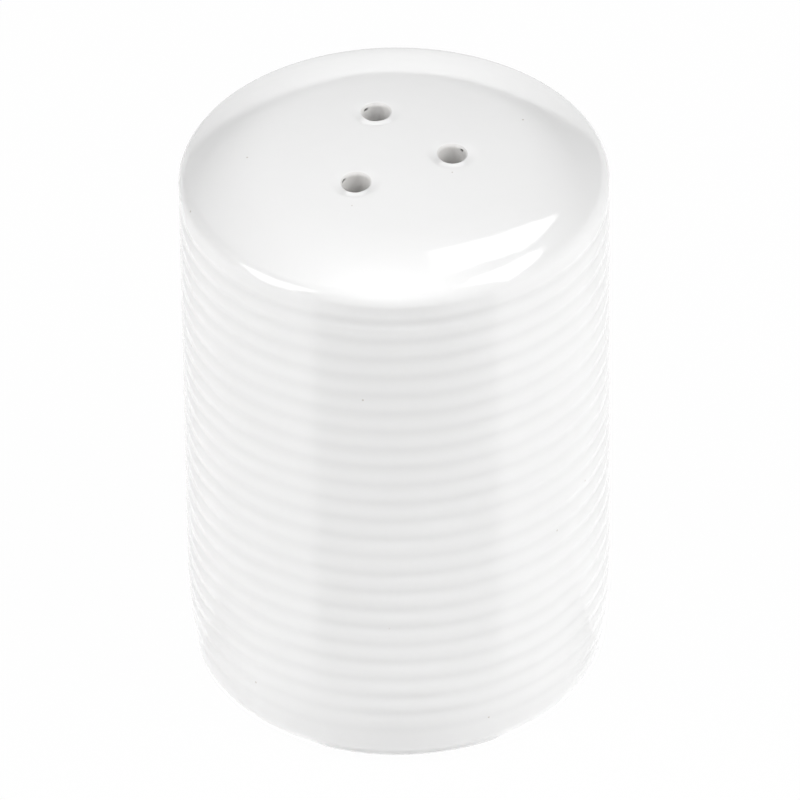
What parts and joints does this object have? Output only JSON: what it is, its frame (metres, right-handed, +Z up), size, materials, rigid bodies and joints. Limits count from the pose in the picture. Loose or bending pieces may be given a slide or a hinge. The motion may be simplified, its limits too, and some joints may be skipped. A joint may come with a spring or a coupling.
{
  "type": "salt shaker",
  "caption": "Ribbed porcelain drum salt shaker with a domed crown, pour holes, foot ring and a soft pull-out filling stopper.",
  "frame": {"origin": "centre of the foot ring's standing face, on the table", "axes": "+Z up along the drum's axis; +X to the right of the picture's view, +Y away from it"},
  "size_m": [0.05, 0.05, 0.072],
  "materials": {
    "porcelain": "clear gloss glaze",
    "stopper": "satin translucent silicone"
  },
  "bodies": {
    "body": {"shaker_body": "porcelain"},
    "stopper": {"filler_stopper": "stopper"}
  },
  "joints": [
    {"name": "stopper_pull", "type": "slide", "parent": "body", "child": "stopper", "axis": [0, 0, -1], "range_m": [0, 0.02]}
  ]
}
